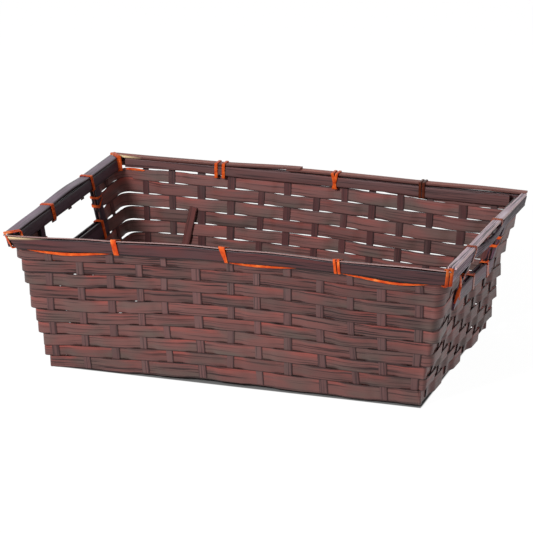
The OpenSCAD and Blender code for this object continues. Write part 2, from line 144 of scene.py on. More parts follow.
# How far the hand-made basket strays from the true one: place along the wall, then the shift there
stray = {
    "frontRise": {
        114: [(-190, -3.4), (-164, -2.9), (-143, -2.2), (-117, -0.4), (-101, 0), (-62, 1), (-44, 1.5),
              (-26, 2.3), (13, 2.6), (61, 3), (86, 2.5), (108, 2), (129, 1.2), (146, 0.4), (163, 0.2),
              (190, 0.3)],
        108: [(-190, -3.2), (-137, -0.1), (-111, 1.6), (-83, 2.5), (-59, 2.9), (-33, 3.4), (-5, 4.1),
              (35, 4.6), (74, 4.0), (101, 2.6), (128, 1.4), (190, 0.7)],
        58: [(-190, -4.2), (-137, -3.4), (-111, -1.5), (-83, 1.0), (-59, 2.6), (-33, 3.8), (-5, 4.6),
             (35, 4.6), (74, 3.4), (101, 1.6), (128, 1.5), (190, 0.5)],
        20: [(-170, -5), (-150, -3.8), (-137, -2.8), (-111, -1.5), (-83, 0.2), (-59, 1.2), (-33, 2.2),
             (-5, 2.6), (35, 2.2), (74, 1.2), (128, 0.4), (170, 0.6)],
        3: [(-170, -0.6), (-137, -1.6), (-111, -1.1), (-83, 0), (-59, 0.8), (-33, 1.6), (-5, 1.7),
            (35, 1.2), (74, 0.2), (128, 0), (170, 0.7)],
    },
    "backRise": {
        114: [(-190, 6.3), (-155, 5.9), (-127, 5.6), (-95, 5.2), (-65, 4.9), (-37, 4.4), (-10, 4), (18, 3.2),
              (45, 1.8), (71, 0), (99, -1.7), (128, -4), (159, -5.2), (190, -5.6)],
        108: [(-190, 8.6), (-155, 7.1), (-127, 6.8), (-95, 6.4), (-65, 5.9), (-37, 4.8), (-10, 4.2),
              (18, 3.3), (45, 1.8), (71, 0), (99, -1.7), (128, -4), (159, -5.2), (190, -5.6)],
        58: [(-190, 0.5), (-155, 2.4), (-127, 2.9), (-95, 2.7), (-37, 2), (-10, 0.9), (18, 0),
             (45, -2), (71, -3.8), (99, -5.5), (128, -6.6), (190, -7)],
        3: [(-170, 0), (170, 0)],
    },
    "frontRim": {
        122: [(-201, -3.4), (-164, -2.9), (-143, -2.4), (-117, -0.6), (-101, -0.2), (-62, 0.4), (-44, 0.9),
              (-26, 1.8), (13, 2.1), (61, 2.6), (86, 2), (108, 1.6), (129, 0.9), (146, -0.5), (163, -1.1),
              (201, -0.3)],
        125.5: [(-201, -3), (-164, -2.2), (-143, -1), (-117, 0.1), (-100, 0.1), (-62, 2.1), (-26, 3.2),
                (14, 2.5), (44, 3), (79, 2), (96, 1.1), (108, 1), (129, 1.1), (146, 1.4), (163, 1.6),
                (201, 0.5)],
    },
    "backRim": {
        124.9: [(-201, 6), (-160, 5.4), (-94, 4.9), (-12, 3.9), (55, 1.8), (106, 0.5), (157, -1),
                (201, -1.6)],
        125.6: [(-201, 6), (-160, 5.4), (-94, 4.9), (-12, 4.4), (55, 3), (106, 1.5), (157, 0.9),
                (201, -0.6)],
    },
    "frontSlide": {
        104: overStakes(192, -2.7, 0, 2, 4, 3.5, -0.5, 1.5, 6, 2, 2.5, 4, 3, 2.5, 8, -1.8),
        61: overStakes(185, -2.3, -3.5, 0, 1, 1.5, -3.5, 0, 3, -0.5, -0.5, 1, 1, 0.5, 5, -1.5),
        14: overStakes(172, -2.9, -3.4, -2, -0.5, -0.5, -3.5, -1, -2, -2.5, -3.5, 0.5, 3, -0.5, -0.5, -4.5),
    },
    "backSlide": {
        104: [(-192, -2.4), (-161, -6), (-134, -6), (-107, -2.5), (-80, 1), (-54, 4.5), (-27, 3), (0, 5),
              (54, 5), (80, 5), (107, 6), (134, 10), (161, 12), (192, 3.5)],
        3: [(-172, 0), (172, 2)],
    },
    # The right wall bows inwards and its middle stands higher: height, then how much
    "rightSunk": [(0, 0), (35, 3), (70, 5.5), (90, 4.5), (105, 1.5), (112, 0.3), (118, 0)],
    "rightLift": [(0, 0), (35, 1.5), (70, 4.5), (95, 4.5), (110, 1), (118, 0)],
    "rightOnset": (165, 14), "rightBack": (-100, 60), "sunkAtFront": 0.25,
    # The front side of the left opening stands towards the front
    "leftForward": 9, "leftOnset": (-150, -14), "leftBack": (-115, 45), "leftFront": (0, -40),
    "frontRimSlide": [(-201, -0.2), (-150, 0.8), (-100, 1), (0, 0), (100, -0.5), (201, -1.8)],
    "backRimSlide": [(-201, -2.3), (0, 0), (201, 2.8)],
}


def between(table, at):  # a smooth curve through the pairs of a table
    i = 0
    while i < len(table) - 2 and at > table[i + 1][0]:
        i += 1
    (x0, y0), (x1, y1) = table[i], table[i + 1]
    if at <= x0:
        return y0
    if at >= x1:
        return y1
    xa, ya = table[max(i - 1, 0)]
    xb, yb = table[min(i + 2, len(table) - 1)]
    run = x1 - x0
    startSlope = (y1 - ya) / (x1 - xa) * run
    endSlope = (yb - y0) / (xb - x0) * run
    t = (at - x0) / run
    return (y0 * (2 * t ** 3 - 3 * t ** 2 + 1) + startSlope * (t ** 3 - 2 * t ** 2 + t)
            + y1 * (3 * t ** 2 - 2 * t ** 3) + endSlope * (t ** 3 - t ** 2))


def atHeight(tables, x, z):
    heights = sorted(tables)
    return between([(h, between(tables[h], x)) for h in heights], z)


def blend(a, c, share):
    return a + (c - a) * share


def held(t):
    return min(max(t, 0), 1)


def eased(t):
    return held(t) ** 2 * (3 - 2 * held(t))


def ramp(at, start, run):  # 0 up to the start, then up to 1 over the run
    return eased((at - start) / run)


def handmade(x, y, z, rim=0.0, rimSlide=None):  # where a point of the true basket lies on the hand-made one
    share = held((y / midY(z) + 1) / 2)
    slideShare = rim if rimSlide is None else rimSlide
    rise = blend(atHeight(stray["frontRise"], x, z), atHeight(stray["backRise"], x, z), share)
    slide = blend(atHeight(stray["frontSlide"], x, z), atHeight(stray["backSlide"], x, z), share)
    if rim > 0:
        atRim = blend(atHeight(stray["frontRim"], x, z), atHeight(stray["backRim"], x, z), share)
        rise = blend(rise, atRim, rim)
    if slideShare > 0:
        atRim = blend(between(stray["frontRimSlide"], x), between(stray["backRimSlide"], x), share)
        slide = blend(slide, atRim, slideShare)
    onRight = ramp(x, *stray["rightOnset"])
    sunk = between(stray["rightSunk"], z) * onRight
    sunk *= blend(stray["sunkAtFront"], 1, ramp(y, *stray["rightBack"]))
    rise += between(stray["rightLift"], z) * onRight * max(0, 1 - (y / 100) ** 2)
    forward = stray["leftForward"] * ramp(x, *stray["leftOnset"])
    forward *= ramp(y, *stray["leftBack"]) * ramp(y, *stray["leftFront"])
    return Vector((x + slide - sunk, y - forward, z + rise))


rimFrom = 98  # the frames of the openings follow the rows below this height, and the rim at the slats


def rimShare(z):
    return held((z - rimFrom) / (slatLow - rimFrom))


class Wire:  # a node socket that takes part in sums
    def __init__(self, tree, socket=None):
        self.tree = tree
        self.socket = socket

    def node(self, kind, inputs=None, out=0, **settings):
        made = self.tree.nodes.new(kind)
        for name, value in settings.items():
            setattr(made, name, value)
        for name, value in (inputs or {}).items():
            if isinstance(value, Wire):
                self.tree.links.new(value.socket, made.inputs[name])
            else:
                made.inputs[name].default_value = value
        return Wire(self.tree, made.outputs[out]) if made.outputs else made

    def other(self, name):
        return Wire(self.tree, self.socket.node.outputs[name])

    def math(self, operation, *values):
        return self.node("ShaderNodeMath", dict(enumerate(values)), operation=operation)

    def size(self):
        return self.math("ABSOLUTE", self)

    def kept(self):  # held between 0 and 1
        return self.node("ShaderNodeClamp", {"Value": self})

    def above(self, level, slope):
        return ((self - level) * slope).kept()

    def below(self, level, slope):
        return ((level - self) * slope).kept()

    def attribute(self, name):
        return self.node("ShaderNodeAttribute", out="Fac", attribute_name=name)

    def mixed(self, factor, a, c, **more):
        return self.node("ShaderNodeMix", {0: factor, 6: a, 7: c}, 2, data_type="RGBA", **more)

    def split(self, vector):
        return self.node("ShaderNodeSeparateXYZ", {"Vector": vector})

    def noise(self, x, y, z, detail, rough=0.5):
        spot = self.node("ShaderNodeCombineXYZ", {"X": x, "Y": y, "Z": z})
        return self.node("ShaderNodeTexNoise",
                         {"Vector": spot, "Scale": 1.0, "Detail": detail, "Roughness": rough})

    def grey(self, value):
        return self.node("ShaderNodeCombineColor", {0: value, 1: value, 2: value})

    def seen(self):  # 1 for rays that come straight, by a mirror or through glass
        ray = self.node("ShaderNodeLightPath")
        kinds = ("Camera", "Glossy", "Transmission")
        straight, glossy, through = (ray.other("Is %s Ray" % kind) for kind in kinds)
        return self.math("MAXIMUM", self.math("MAXIMUM", straight, glossy), through)


for name, operation in (("add", "ADD"), ("sub", "SUBTRACT"), ("mul", "MULTIPLY"), ("truediv", "DIVIDE"),
                        ("pow", "POWER")):
    setattr(Wire, "__%s__" % name, lambda self, value, kind=operation: self.math(kind, self, value))
    setattr(Wire, "__r%s__" % name, lambda self, value, kind=operation: self.math(kind, value, self))

driftScale = {"along": 45, "tone": 50}  # how fast a strip's width drifts along it and from strip to strip


def buildStripTree():  # sweeps a rounded strip along every line of the mesh that it is given
    tree = bpy.data.node_groups.new("laidStrip", "GeometryNodeTree")
    inputs = {"Geometry": "Geometry", "Width": "Float", "Thickness": "Float", "Edge": "Float", "Sides": "Int",
              "Unevenness": "Float", "Seed": "Float", "Material": "Material"}
    for name, kind in inputs.items():
        tree.interface.new_socket(name, in_out="INPUT", socket_type="NodeSocket" + kind)
    tree.interface.new_socket("Geometry", in_out="OUTPUT", socket_type="NodeSocketGeometry")
    w = Wire(tree)

    def named(name, kind="FLOAT"):
        return w.node("GeometryNodeInputNamedAttribute", {"Name": name}, data_type=kind)

    def stored(geometry, name, value, kind="FLOAT", domain="POINT"):
        return w.node("GeometryNodeStoreNamedAttribute", {"Geometry": geometry, "Name": name, "Value": value},
                      data_type=kind, domain=domain)

    def rounded(wave, size):  # one side of a rounded profile
        return wave.math("SIGN", wave) * wave.size() ** given.other("Edge") * given.other(size) / 2

    given = w.node("NodeGroupInput")
    curve = w.node("GeometryNodeMeshToCurve", {"Mesh": given})
    curve = w.node("GeometryNodeSetCurveNormal", {"Curve": curve, "Normal": named("facing", "FLOAT_VECTOR")},
                   mode="FREE")
    along = w.node("GeometryNodeSplineParameter").other("Length")
    curve = stored(curve, "along", along)
    drift = w.noise(along * driftScale["along"], named("tone") * driftScale["tone"], given.other("Seed"), 1.0)
    scale = named("spread") * (1 + given.other("Unevenness") * (drift - 0.5) * 2)

    ring = w.node("GeometryNodeCurvePrimitiveCircle", {"Resolution": given.other("Sides")}, mode="RADIUS")
    angle = (w.node("GeometryNodeInputIndex") + 0.5) / given.other("Sides") * math.tau
    across = rounded(angle.math("COSINE", angle), "Width")
    through = rounded(angle.math("SINE", angle), "Thickness")
    spot = w.node("ShaderNodeCombineXYZ", {"X": through, "Y": across})  # X lies along the normal
    ring = w.node("GeometryNodeSetPosition", {"Geometry": ring, "Position": spot})
    at = w.split(w.node("GeometryNodeInputPosition"))
    ring = stored(ring, "across", at.other("Y"))
    ring = stored(ring, "outside", 0.5 - at / given.other("Thickness"))

    swept = w.node("GeometryNodeCurveToMesh",
                   {"Curve": curve, "Profile Curve": ring, "Scale": scale, "Fill Caps": True})
    uv = w.node("ShaderNodeCombineXYZ", {"X": named("along"), "Y": named("across")})
    swept = stored(swept, "strip", uv, "FLOAT2", "CORNER")
    swept = w.node("GeometryNodeSetMaterial", {"Geometry": swept, "Material": given.other("Material")})
    w.node("NodeGroupOutput", {"Geometry": swept})
    return tree


stripTree = buildStripTree()
print("strip tree built")

dice = random.Random(7)
sharpAngle = math.radians(50)


def placed(name, data):
    made = bpy.data.objects.new(name, data)
    bpy.context.scene.collection.objects.link(made)
    return made


def edged(line, place, wide, **more):  # a strip along a line: place(p, q) puts the line's point p at q across
    return {"low": [place(p, -wide) for p in line], "high": [place(p, wide) for p in line], **more}


def laidPath(name, strips, width):  # the middle lines of the strips, with what varies along them
    points, edges, facing, spread, tone, raw = [], [], [], [], [], []
    for strip in strips:
        low, high = strip["low"], strip["high"]
        n = len(low)
        ring = strip.get("ring", False)
        first = len(points)
        spots = [(p + q) / 2 for p, q in zip(low, high)]
        shade = strip.get("tone", dice.random())
        for i in range(n):
            s = i / (n - 1)
            before = spots[(i - 1) % n] if ring or i else spots[0]
            after = spots[(i + 1) % n] if ring or i < n - 1 else spots[-1]
            up = high[i] - low[i]
            points.append(spots[i] * mm)
            facing.extend(up.cross(after - before).normalized())
            spread.append(up.length / width * (strip["taper"](s) if "taper" in strip else 1))
            tone.append(shade)
            raw.append(strip["raw"](s) if "raw" in strip else 0.0)
        edges += [(first + i, first + i + 1) for i in range(n - 1)]
        if ring:
            edges.append((first + n - 1, first))
    path = bpy.data.meshes.new(name + "Path")
    path.from_pydata(points, edges, [])
    path.attributes.new("facing", "FLOAT_VECTOR", "POINT").data.foreach_set("vector", facing)
    for label, values in (("spread", spread), ("tone", tone), ("raw", raw)):
        path.attributes.new(label, "FLOAT", "POINT").data.foreach_set("value", values)
    return path


def lay(name, strips, look, material, replaced, reshape=None):
    # strips: each has its edge lines in millimetres, the low one first as seen from outside
    laid = placed(name + "Path", laidPath(name, strips, look["width"]))
    modifier = laid.modifiers.new("laidStrip", "NODES")
    modifier.node_group = stripTree
    given = {"Width": look["width"] * mm, "Thickness": look["thickness"] * mm, "Edge": look["edge"],
             "Sides": look["sides"], "Unevenness": look["unevenness"], "Seed": float(len(name)),
             "Material": material}
    for label, value in given.items():
        modifier[stripTree.interface.items_tree[label].identifier] = value
    bpy.context.view_layer.update()
    mesh = bpy.data.meshes.new_from_object(laid.evaluated_get(bpy.context.evaluated_depsgraph_get()))
    bpy.data.objects.remove(laid)
    if reshape:
        for vertex in mesh.vertices:
            vertex.co = reshape(vertex.co / mm) * mm
    mesh.shade_smooth()
    mesh.set_sharp_from_angle(angle=sharpAngle)
    for label in ("facing", "spread", "along", "across"):
        if label in mesh.attributes:
            mesh.attributes.remove(mesh.attributes[label])
    piece = placed(name, mesh)
    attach(piece, "root")
    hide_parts(replaced)


# Materials
def srgb(*seen):  # a colour as seen, 0 to 255, for a shader socket
    linear = (c / 255 / 12.92 if c / 255 <= 0.04045 else ((c / 255 + 0.055) / 1.055) ** 2.4 for c in seen)
    return (*linear, 1.0)


# Stains as seen, 0 to 255: red and grey are patches on the base, dark is the streaks between the fibres and
# also the lines along a strip's edges, which are painted shade between neighbouring strips; where a look
# gives an edge colour, that colour draws those lines instead. Some looks below are lighter or darker copies
# for how light falls where the piece stands, as noted at each.
# The half width of a strip is in metres.
plainBamboo = {"halfWidth": 0.005, "rough": 0.45, "gloss": 0.3, "streaks": 1.0, "crisp": 9, "deep": 0.25,
               "edgeFrom": 0.85}


def stained(base, red, grey, dark, redShare, greyShare, **more):
    return {**plainBamboo, "base": base, "red": red, "grey": grey, "dark": dark,
            "redShare": redShare, "greyShare": greyShare, **more}


bambooLooks = {
    "weaver": stained((102, 68, 64), (160, 72, 61), (86, 73, 67), (36, 23, 22), 0.8, 0.8, inner=(108, 72, 68),
                      rough=0.5),
    "stake": stained((96, 67, 65), (110, 62, 56), (86, 71, 67), (34, 22, 22), 0.4, 0.5, inner=(72, 36, 35),
                     rough=0.5, halfWidth=0.00325, rightLine=0.7),
    "slat": stained((77, 45, 45), (108, 42, 38), (70, 53, 54), (22, 13, 15), 0.6, 0.4, rough=0.42,
                    streaks=1.25, edgeFrom=0.78),
    "backSlat": stained((98, 65, 63), (118, 60, 54), (88, 67, 66), (28, 17, 18), 0.6, 0.4, gloss=0.2,
                        streaks=1.1, edgeFrom=0.92),
    # the right frames' look: a lighter lilac copy of the frame look, as painted sheen
    "sideSlat": stained((90, 60, 72), (96, 54, 62), (112, 90, 106), (16, 9, 12), 0.3, 0.6, gloss=0.15,
                        halfWidth=0.007, streaks=1.7, crisp=16, edgeFrom=0.88),
    # the left cap's lilac greys are partly painted sheen
    "leftCap": stained((106, 82, 100), (110, 78, 92), (136, 118, 136), (28, 18, 26), 0.2, 0.6, rough=0.35,
                       gloss=0.35, halfWidth=0.0046, streaks=1.4, crisp=16),
    # the right cap: light lilac as painted sheen, light lines along its edges as painted highlight
    "rightCap": stained((192, 164, 176), (180, 138, 146), (232, 214, 226), (12, 6, 10), 0.3, 0.7, rough=0.35,
                        gloss=0.25, halfWidth=0.0034, streaks=2.0, crisp=20, edge=(224, 190, 190),
                        edgeFrom=0.8),
    # the right outer slat: lilac as painted sheen with its own reflection almost off, dark lines along its
    # edges as painted shadow under the cap
    "rightSlat": stained((150, 124, 138), (140, 100, 112), (206, 188, 202), (10, 6, 8), 0.3, 0.7, rough=0.4,
                         gloss=0.02, halfWidth=0.0072, streaks=2.0, crisp=20, deep=0.6, edge=(26, 14, 18),
                         edgeFrom=0.8),
    # the back cap: lighter and redder than the other caps as a painted highlight along its top, with darker
    # lines along its edges
    "backCap": stained((158, 100, 90), (184, 104, 86), (124, 90, 86), (34, 20, 21), 0.9, 0.3, gloss=0.1,
                       halfWidth=0.0044, streaks=1.2, edge=(92, 60, 56)),
    # the front cap: light lines along its edges as painted highlight
    "frontCap": stained((106, 76, 73), (126, 80, 74), (100, 80, 79), (56, 39, 40), 0.5, 0.4, rough=0.4,
                        gloss=0.4, halfWidth=0.003, deep=0.5, edge=(136, 102, 97)),
    "frame": stained((58, 42, 54), (66, 37, 45), (64, 50, 62), (22, 15, 20), 0.2, 0.5, rough=0.38,
                     halfWidth=0.004),
    "brace": stained((94, 48, 44), (118, 55, 48), (78, 54, 50), (40, 22, 21), 0.6, 0.3, rough=0.5,
                     halfWidth=0.0035),
}
bareWood = (226, 200, 158)
sheenTint = (1.0, 0.9, 0.97, 1.0)  # the stain gives reflections a lilac cast


def startMaterial(name):
    material = bpy.data.materials.new(name)
    material.use_nodes = True
    material.node_tree.nodes.clear()
    return material, Wire(material.node_tree)


def grain(w, alongScale, acrossScale, step, detail=2.0):  # noise drawn out along the strip
    uv = w.split(w.node("ShaderNodeUVMap", uv_map="strip"))
    return w.noise(uv * alongScale, uv.other("Y") * acrossScale, w.attribute("tone") * step, detail, 0.6)


def polish(w, color, rough, gloss, height, bumpStrength, bumpDepth, **more):
    bump = w.node("ShaderNodeBump", {"Strength": bumpStrength, "Distance": bumpDepth, "Height": height})
    shader = w.node("ShaderNodeBsdfPrincipled", {"Base Color": color, "Roughness": rough, "Normal": bump,
                                                 "Specular IOR Level": gloss, **more})
    w.node("ShaderNodeOutputMaterial", {"Surface": shader})


def bamboo(name):
    look = bambooLooks[name]
    tint = {part: srgb(*value) for part, value in look.items() if isinstance(value, tuple)}
    material, w = startMaterial(name + "Bamboo")
    across = w.split(w.node("ShaderNodeUVMap", uv_map="strip")).other("Y") / look["halfWidth"]
    tone, raw = w.attribute("tone"), w.attribute("raw")
    fibre = grain(w, 28, 2600, 53)  # hair lines
    streak = grain(w, 14, 800, 91)  # streaks about a millimetre wide
    band = grain(w, 18, 300, 71)
    patch = grain(w, 24, 80, 37, 1.0)  # where the dye took
    topSide = (across * 0.5 + 0.5).kept()
    dyeAndTopHighlight = patch.above(0.4, 5) * band.above(0.36, 5) * look["redShare"]
    # red dye patches, drawn mostly to the strip's top edge as a painted highlight; grey leans to the strip's
    # lower edge
    dyeAndTopHighlight = dyeAndTopHighlight * (0.05 + topSide * topSide * topSide * 1.1)
    greyness = patch.below(0.52, 5) * look["greyShare"] * (1.25 - topSide * 0.8)
    color = tint["base"]
    if "inner" in tint:
        color = w.mixed(w.attribute("outside"), tint["inner"], color)
    color = w.mixed(dyeAndTopHighlight, color, tint["red"])
    color = w.mixed(greyness, color, tint["grey"])
    # raw below zero darkens the strip: painted shade on the front rows and the slats, and a darker length on
    # the front cap
    deep = (raw * -1).kept()  # below zero the strip is darker, above it the stain has missed the wood
    lines = streak.below(0.47, look["crisp"]) * 0.62 * (deep * 0.8 + look["streaks"])
    lines = fibre.below(0.48, 3) * 0.34 + lines + deep * look["deep"]
    color = w.mixed(lines.kept(), color, tint["dark"])
    # painted shadow along a stake's right edge, where the strip beside it dives behind in the stake's shadow
    if "rightLine" in look:  # dark only where the strip beside it dives behind
        edge = across.above(0.68, 12) * look["rightLine"]
    else:
        # lines along both edges of a strip: painted shade between neighbouring strips; where a look gives its
        # own edge colour, that colour draws them instead
        edge = across.size().above(look["edgeFrom"], 9) * 0.9
    color = w.mixed(edge, color, tint.get("edge", tint["dark"]))
    color = w.mixed(1.0, color, w.grey(0.84 + tone * 0.32), blend_type="MULTIPLY")
    cream = (raw + (streak - 0.5) * 0.9 + (topSide - 1) * 4).kept() * (raw * 8).kept()
    color = w.mixed(cream, color, srgb(*bareWood))
    polish(w, color, look["rough"] + (streak - 0.5) * 0.3, look["gloss"], (fibre + streak) * 0.5,
           0.35, 0.0004, **{"Specular Tint": sheenTint})
    return material


# Cane as seen: its own colour, glints painted on as highlights, then brown and near-black for the turns of
# lowest tone
caneLook = {"base": (186, 62, 24), "light": (228, 101, 40), "glint": (243, 150, 86), "fibre": (140, 52, 24),
            "brown": (96, 48, 34), "black": (44, 26, 22), "gloss": 0.07}


def caneMaterial():
    tint = {part: srgb(*value) for part, value in caneLook.items() if isinstance(value, tuple)}
    material, w = startMaterial("tyingCane")
    fibre, patch, tone = grain(w, 40, 3200, 60), grain(w, 90, 160, 60), w.attribute("tone")
    color = w.mixed(patch.above(0.38, 4), tint["base"], tint["light"])
    # glint: painted highlights in random patches
    for part, factor in (("glint", patch.above(0.56, 6) * 0.7), ("fibre", fibre.below(0.47, 4) * 0.55),
                         ("brown", tone.below(0.16, 40) * 0.65), ("black", tone.below(0.08, 40) * 0.75)):
        color = w.mixed(factor, color, tint[part])
    polish(w, color, 0.18 + fibre * 0.2, caneLook["gloss"], fibre, 0.3, 0.0003)
    return material


wood = {name: bamboo(name) for name in bambooLooks}
cane = caneMaterial()
print("materials made")

flatLook = {"edge": 0.3, "sides": 12, "unevenness": 0.02}

# Woven rows
rowLook = dict(flatLook, width=10.0, thickness=0.55, unevenness=0.015)
rows = {
    "off": (0.7, 1.0, 0.75, 1.0),  # how far a row bends out of the middle of the walls, from the front round
    "rightBulge": 2.0,  # and out of the middle of the right wall below its opening
    "cornerPush": (-0.4, 1.5),  # how far the rows stand out at the corners, from and to
    "wander": 0.2,  # how far a row strays up or down by itself
    "slitFill": (0.5, 0.4),  # how far a strip reaches into each slit, in front and behind
    "slitFade": (-1, 1.6),  # from the front wall at -1, the way over which the one becomes the other
    "lastDrop": 2.4,  # the lowest row reaches almost to the table
    "firstRise": 0.8,  # and the highest one almost to the rim
    "cornerRise": 2.6, "cornerX": (-150, -25), "cornerY": (60, 25),  # the second row rises at the back left
    "joins": {4: 28, 5: 25, 6: 30, 7: 23, 8: 27, 9: 31, 10: 24},  # the stake where a whole row is joined
}
# Painted shade on the rows in front: darker under the rim and towards the right, and the lowest row darker
# towards the left, with the height or place where each share sets in and how far it runs
rowShade = {"up": (0.75, 55, 40), "right": (0.7, 20, 120), "lastLeft": (0.45, 80, -120),
            "lastRight": (0.15, 20, 120), "front": (0.65, 0.25), "endX": (152, 12)}
gapSteps, cornerSteps, leadSteps = 10, 7, 2


def sideSign(i, k):
    return -1 if (i + k) % 2 == 1 else 1


def rowReach(wall, k):
    return rows["rightBulge"] if wall == 1 and k > b["openRows"] + 1 else rows["off"][wall]


def passing(t):  # a weaver's way from one side of the wall to the other
    return eased((t - 0.5) * 1.9 + 0.5)


ringHalf = b["crossStakes"] + b["longStakes"]
ringCount = 2 * ringHalf


def stakeOf(i):  # wall and place of stake i of the ring, the ring's way there, and its number in the foot
    across, along = b["crossStakes"], b["longStakes"]
    if i < across:
        return 0, crossX(i), 1, i
    if i < ringHalf:
        return 1, longY(i - across), 1, i
    if i < ringHalf + across:
        return 2, crossX(ringHalf + across - 1 - i), -1, ringHalf + across - 1 - i
    return 3, longY(ringCount - 1 - i), -1, across + ringCount - 1 - i


def ringSamples(k, start, count):  # a row's way past count stakes: wall or corner, place, offset
    samples = []
    for step in range(count):
        i = (start + step) % ringCount
        wall, place, way, parity = stakeOf(i)
        off = sideSign(parity, k) * rowReach(wall, k)
        samples += [("wall", wall, place + way * e * flatHalf, off) for e in (-1, 0, 1)]
        if step == count - 1:
            break
        nextWall, nextPlace, nextWay, nextParity = stakeOf((i + 1) % ringCount)
        nextOff = sideSign(nextParity, k) * rowReach(nextWall, k)
        a, c = place + way * flatHalf, nextPlace - nextWay * flatHalf
        if nextWall == wall:
            for t in (j / gapSteps for j in range(1, gapSteps)):
                samples.append(("wall", wall, blend(a, c, t), blend(off, nextOff, passing(t))))
            continue
        push = dice.uniform(*rows["cornerPush"])
        passed = [blend(off, nextOff, passing(j / (cornerSteps + 2 * leadSteps)))
                  for j in range(cornerSteps + 2 * leadSteps + 1)]
        for j in range(1, leadSteps + 1):
            samples.append(("lead", wall, a, j / (leadSteps + 1), passed[j]))
        for j in range(cornerSteps + 1):
            bend = push * math.sin(math.pi * j / cornerSteps)
            samples.append(("corner", wall, 90 * j / cornerSteps, passed[j + leadSteps] + bend))
        for j in range(leadSteps, 0, -1):
            samples.append(("tail", nextWall, c, j / (leadSteps + 1), passed[-1 - j]))
    return samples


def onSide(wall, place, out):  # a point beside a wall: place along it, distance from the middle
    return ((place, -out), (out, place), (place, out), (-out, place))[wall]


def onWall(wall, place, off, z):
    return onSide(wall, place, (midY(z) if wall in (0, 2) else midX(z)) + off)


def ringPoint(sample, z, radius):
    if sample[0] == "wall":
        return onWall(*sample[1:], z)
    r = radius if radius else cornerRadius(z)
    if sample[0] == "corner":
        wall, turn, off = sample[1:]
        angle = math.radians(270 + 90 * wall + turn)
        cx = (1, 1, -1, -1)[wall] * (midX(z) - r)
        cy = (-1, 1, 1, -1)[wall] * (midY(z) - r)
        return cx + (r + off) * math.cos(angle), cy + (r + off) * math.sin(angle)
    kind, wall, place, share, off = sample
    reach = (midX(z) if wall in (0, 2) else midY(z)) - r
    end = reach * ((1, 1, -1, -1)[wall] if kind == "lead" else (-1, -1, 1, 1)[wall])
    return onWall(wall, place + (end - place) * share, off, z)


# How upright a strip stands instead of leaning with its wall, at walls 0 to 3
rowStanding = {"wall": (0, 0.5, 0, 0.4), "lead": (0.5,) * 4, "tail": (0.5,) * 4, "corner": (1,) * 4}


# painted shade on a row in front, given as a value below zero that darkens the strip
def shadeDepth(k, x, y, low, high):
    first, second = ("lastLeft", "lastRight") if k == b["rows"] else ("up", "right")
    share, *run = rowShade[first]
    tint = share * ramp(x if k == b["rows"] else high, *run)
    share, *run = rowShade[second]
    tint += share * ramp(x, *run)
    return -tint * ramp(-y / midY(low), *rowShade["front"]) * (1 - ramp(x, *rowShade["endX"]))


def rowStrip(k, low, high, start, count, radius=None):
    samples = ringSamples(k, start, count)
    drift = [dice.uniform(-rows["wander"], rows["wander"]) for _ in range(count + 4)]
    strip = {"low": [], "high": []}
    depths = []
    for i, sample in enumerate(samples):
        at = i / len(samples) * count
        up = blend(drift[int(at)], drift[int(at) + 1], eased(at - int(at)))
        y = ringPoint(sample, low, radius)[1]
        closed = blend(*rows["slitFill"], ramp(y / midY(low), *rows["slitFade"]))
        standing = rowStanding[sample[0]][sample[1]]
        for edge, z in (("low", low - closed), ("high", high + closed)):
            x, y = ringPoint(sample, blend(z, (low + high) / 2, standing), radius)
            strip[edge].append(handmade(x, y, z + up))
        depths.append(shadeDepth(k, x, y, low, high))
    strip["raw"] = lambda s: depths[round(s * (len(strip["low"]) - 1))]
    return strip


for k in range(1, b["rows"] + 1):
    low = rowLow(k) - (rows["lastDrop"] if k == b["rows"] else 0)
    high = rowHigh(k) + (rows["firstRise"] if k == 1 else 0)
    if k <= b["openRows"]:
        frontCount = b["crossStakes"] + 2 * (b["upright"] + 1)
        starts = (ringCount - 1 - b["upright"], ringHalf - 1 - b["upright"])
        strips = [rowStrip(k, low, high, start, frontCount) for start in starts]
    else:
        strips = [rowStrip(k, low, high, rows["joins"][k], ringCount + 1)]
        for edge in ("low", "high"):  # the two ends meet in the middle of a stake
            strips[0][edge] = strips[0][edge][1:-1]
    if k == 2:
        for p in strips[0]["high"] + strips[1]["high"]:
            p.z += rows["cornerRise"] * ramp(p.x, *rows["cornerX"]) * ramp(p.y, *rows["cornerY"])
    lay("wovenRow%02d" % k, strips, rowLook, wood["weaver"], "weaver_row_%02d" % k)

coreDrop, coreJoin = 5, 30  # the hidden row's edge below the slats' top, the stake where it is joined
coreTop = slatTop - coreDrop
coreLow = slatLow + b["clear"]
# How far the back slats' lower edge, and the row between them, is cut back
backTrim = [(-201, 1.4), (-150, 2.4), (-115, 2.7), (-85, 1.5), (-50, 0.8), (0, 0.8), (45, 1.4), (85, 1.2),
            (110, 0)]
trimOnset = (95, 15)
core = rowStrip(0, coreLow, coreTop, coreJoin, ringCount, b["coreCorner"])
for p in core["low"]:
    p.z += between(backTrim, p.x) * ramp(p.y, *trimOnset)
lay("rimCoreRow", [core], dict(rowLook, width=coreTop - coreLow), wood["weaver"], "rim_core_row")
print("rows woven")

# Stakes
stakeLook = dict(flatLook, width=b["stakeWidth"], thickness=0.6)
wallSteps, bendSteps = 12, 5


def upSide(corner, top, cut):  # round the foot's edge and up the wall: distance from the middle, height
    s = corner + Vector((-cut, 0))
    e = corner + (top - corner).normalized() * cut
    bend = [s * (1 - t) ** 2 + corner * (2 * t * (1 - t)) + e * t ** 2
            for t in (i / bendSteps for i in range(bendSteps + 1))]
    return bend + [e.lerp(top, i / wallSteps) for i in range(1, wallSteps + 1)]


def mirrored(side):
    return [Vector((-p.x, p.y)) for p in reversed(side)]


